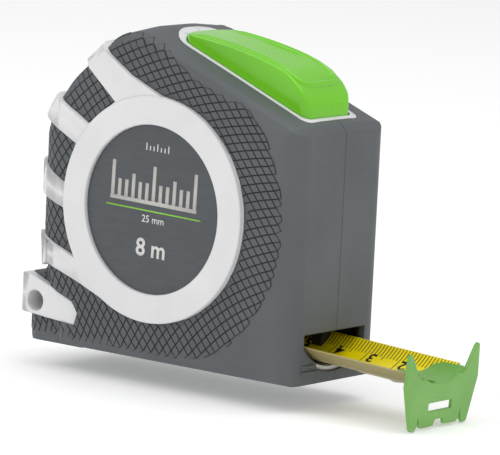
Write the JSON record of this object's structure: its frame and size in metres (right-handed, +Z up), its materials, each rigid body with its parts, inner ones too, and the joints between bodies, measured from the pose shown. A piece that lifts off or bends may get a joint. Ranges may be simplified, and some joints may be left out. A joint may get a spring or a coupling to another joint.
{
  "type": "tape measure",
  "caption": "Pocket tape measure with soft-grip case, press-button blade brake, spring reel, curved steel blade drawn part way out and a sliding two-way end hook.",
  "frame": {"origin": "on the case's flat base, straight below the reel's axis", "axes": "+X towards the mouth and the hook, +Y towards the side with the screws, +Z up"},
  "size_m": [0.1254, 0.0418, 0.0917],
  "materials": {
    "shell_plastic": "satin",
    "grip_rubber": "matte",
    "label_film": "satin",
    "button_plastic": "gloss",
    "hook_paint": "satin",
    "blade_paint": "satin",
    "patch_film": "satin",
    "inner_plastic": "matte",
    "brake_rubber": "matte",
    "steel": "brushed"
  },
  "bodies": {
    "case": {"shell_right": "shell_plastic", "shell_left": "shell_plastic", "grip_right": "grip_rubber", "grip_left": "grip_rubber", "label_right": "label_film", "label_left": "label_film", "case_screws": "steel", "spindle": "steel", "button_pin": "steel", "rocker_pin": "steel", "brake_spring": "steel"},
    "button": {"lock_button": "button_plastic"},
    "rocker": {"release_rocker": "inner_plastic"},
    "brake": {"brake_bar": "inner_plastic", "brake_pad": "brake_rubber"},
    "reel": {"reel_drum": "inner_plastic", "drum_cover": "inner_plastic", "blade_coil": "blade_paint", "mainspring": "steel"},
    "blade": {"blade_strip": "blade_paint", "tip_patch": "patch_film", "tip_rivets": "steel"},
    "hook": {"end_hook": "hook_paint"}
  },
  "joints": [
    {"name": "button_press", "type": "hinge", "parent": "case", "child": "button", "pos_m": [0.003, 0, 0.0725], "axis": [0, 1, 0], "range_deg": [0, 4], "stiffness_Nm_per_rad": 2, "springref_deg": -1.15},
    {"name": "rocker_turn", "type": "hinge", "parent": "case", "child": "rocker", "pos_m": [0.026, 0, 0.058], "axis": [0, 1, 0], "range_deg": [-5.3, 0]},
    {"name": "brake_lift", "type": "slide", "parent": "case", "child": "brake", "axis": [0, 0, 1], "range_m": [0, 0.00085], "deforming": ["brake_spring"]},
    {"name": "blade_slide", "type": "slide", "parent": "case", "child": "blade", "axis": [0.9985, 0, -0.0541], "range_m": [-0.032, 0.033]},
    {"name": "reel_spin", "type": "hinge", "parent": "case", "child": "reel", "pos_m": [0, 0, 0.0396], "axis": [0, 1, 0], "range_deg": [-72, 72]},
    {"name": "hook_play", "type": "slide", "parent": "blade", "child": "hook", "axis": [0.9985, 0, -0.0541], "range_m": [-0.0005, 0.0005]}
  ],
  "couplings": [
    {"joint": "rocker_turn", "follows": "button_press", "ratio": -1.3},
    {"joint": "brake_lift", "follows": "button_press", "m_per_rad": 0.01196},
    {"joint": "reel_spin", "follows": "blade_slide", "rad_per_m": -37.453}
  ]
}
